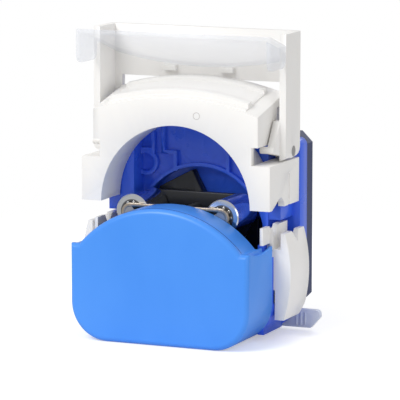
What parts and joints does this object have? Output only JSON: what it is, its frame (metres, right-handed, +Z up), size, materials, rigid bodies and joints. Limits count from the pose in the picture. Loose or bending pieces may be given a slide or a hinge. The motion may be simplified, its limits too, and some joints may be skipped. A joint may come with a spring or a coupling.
{
  "type": "peristaltic pump head",
  "caption": "Flip-top peristaltic pump head: lid lifts an occlusion jaw off a roller rotor; sprung clamps hold the tubing.",
  "frame": {"origin": "drive axis where it meets the rear mounting face", "axes": "+X to the right seen from the front, +Y to the rear along the drive axis, +Z up"},
  "size_m": [0.0855, 0.057, 0.1125],
  "materials": {
    "blue_shell": "satin moulded",
    "white_shell": "satin moulded",
    "clear_visor": "clear polished plastic",
    "navy_plate": "fine textured",
    "pale_latch": "translucent satin",
    "polished_steel": "polished",
    "bright_steel": "turned",
    "black_rotor": "moulded",
    "spring_steel": "drawn wire"
  },
  "bodies": {
    "housing": {"rear_housing": "blue_shell", "front_cover": "blue_shell", "cover_screws": "bright_steel", "mounting_plate": "navy_plate", "mount_studs": "bright_steel", "lid_pivot_pins": "bright_steel", "main_bearing_front": "polished_steel", "main_bearing_rear": "polished_steel", "bearing_spacer": "bright_steel"},
    "jaw": {"occlusion_jaw": "white_shell"},
    "lid": {"lid_frame": "white_shell", "lid_visor": "clear_visor"},
    "rotor": {"rotor_front_plate": "bright_steel", "rotor_rear_plate": "black_rotor", "rotor_hub": "black_rotor", "rotor_posts": "black_rotor", "rotor_nut": "bright_steel", "roller_axles": "bright_steel", "axle_clips": "spring_steel", "drive_shaft": "bright_steel"},
    "clamp_right": {"tube_clamp_right": "white_shell", "clamp_spring_right": "spring_steel"},
    "clamp_left": {"tube_clamp_left": "white_shell", "clamp_spring_left": "spring_steel"},
    "latch": {"release_latch": "pale_latch"},
    "roller_1": {"roller_1": "polished_steel", "roller_1_bearings": "bright_steel"},
    "roller_2": {"roller_2": "polished_steel", "roller_2_bearings": "bright_steel"},
    "roller_3": {"roller_3": "polished_steel", "roller_3_bearings": "bright_steel"}
  },
  "joints": [
    {"name": "lid_hinge", "type": "hinge", "parent": "housing", "child": "lid", "pos_m": [0, -0.021, 0.0333], "axis": [1, 0, 0], "range_deg": [0, 90]},
    {"name": "jaw_slide", "type": "slide", "parent": "housing", "child": "jaw", "axis": [0, 0, -1], "range_m": [0, 0.0133]},
    {"name": "rotor_spin", "type": "hinge", "parent": "housing", "child": "rotor", "pos_m": [0, -0.021, 0], "axis": [0, -1, 0], "continuous": true},
    {"name": "roller_1_spin", "type": "hinge", "parent": "rotor", "child": "roller_1", "pos_m": [0.01784, -0.031, 0.0103], "axis": [0, -1, 0], "continuous": true},
    {"name": "roller_2_spin", "type": "hinge", "parent": "rotor", "child": "roller_2", "pos_m": [-0.01784, -0.031, 0.0103], "axis": [0, -1, 0], "continuous": true},
    {"name": "roller_3_spin", "type": "hinge", "parent": "rotor", "child": "roller_3", "pos_m": [0, -0.031, -0.0206], "axis": [0, -1, 0], "continuous": true},
    {"name": "clamp_right_slide", "type": "slide", "parent": "housing", "child": "clamp_right", "axis": [0, 0, -1], "range_m": [0, 0.0045], "stiffness_N_per_m": 400, "springref_m": -0.001, "deforming": ["clamp_spring_right"]},
    {"name": "clamp_left_slide", "type": "slide", "parent": "housing", "child": "clamp_left", "axis": [0, 0, -1], "range_m": [0, 0.0045], "stiffness_N_per_m": 400, "springref_m": -0.001, "deforming": ["clamp_spring_left"]},
    {"name": "latch_slide", "type": "slide", "parent": "housing", "child": "latch", "axis": [-1, 0, 0], "range_m": [0, 0.003], "stiffness_N_per_m": 300, "springref_m": -0.001}
  ],
  "couplings": [
    {"joint": "jaw_slide", "follows": "lid_hinge", "m_per_rad": 0.008467}
  ]
}
